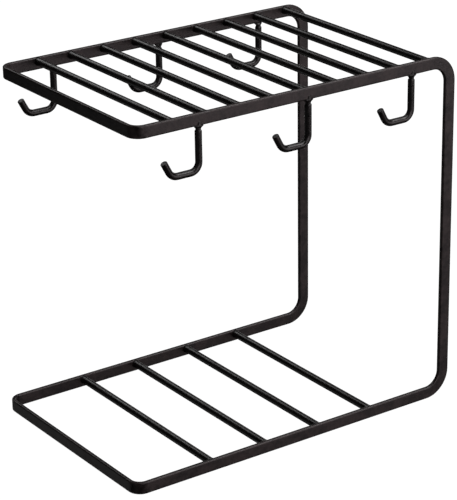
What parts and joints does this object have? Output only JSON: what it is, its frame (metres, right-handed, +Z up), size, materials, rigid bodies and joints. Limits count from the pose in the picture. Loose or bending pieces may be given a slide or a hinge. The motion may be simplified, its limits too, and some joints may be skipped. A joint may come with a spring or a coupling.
{
  "type": "mug tree",
  "caption": "C-shaped flat-bar countertop mug rack with a wire shelf on top, a wire base and J-shaped mug hooks under both side rails.",
  "frame": {"origin": "centre of the bounding box in plan, on the surface the rack stands on", "axes": "+X towards the uprights, -X towards the open end, -Y towards the front rail, +Z up"},
  "size_m": [0.308, 0.196, 0.293],
  "materials": {
    "frame_coat": "dark bronze satin powder coat",
    "wire_coat": "dark bronze satin powder coat",
    "hook_coat": "dark bronze satin powder coat"
  },
  "bodies": {
    "root": {"frame_loop": "frame_coat", "shelf_wire_1": "wire_coat", "shelf_wire_2": "wire_coat", "shelf_wire_3": "wire_coat", "shelf_wire_4": "wire_coat", "shelf_wire_5": "wire_coat", "shelf_wire_6": "wire_coat", "shelf_wire_7": "wire_coat", "shelf_wire_8": "wire_coat", "shelf_wire_9": "wire_coat", "base_wire_1": "wire_coat", "base_wire_2": "wire_coat", "base_wire_3": "wire_coat", "base_wire_4": "wire_coat", "hook_front_1": "hook_coat", "hook_front_2": "hook_coat", "hook_front_3": "hook_coat", "hook_back_1": "hook_coat", "hook_back_2": "hook_coat", "hook_back_3": "hook_coat"}
  },
  "joints": []
}
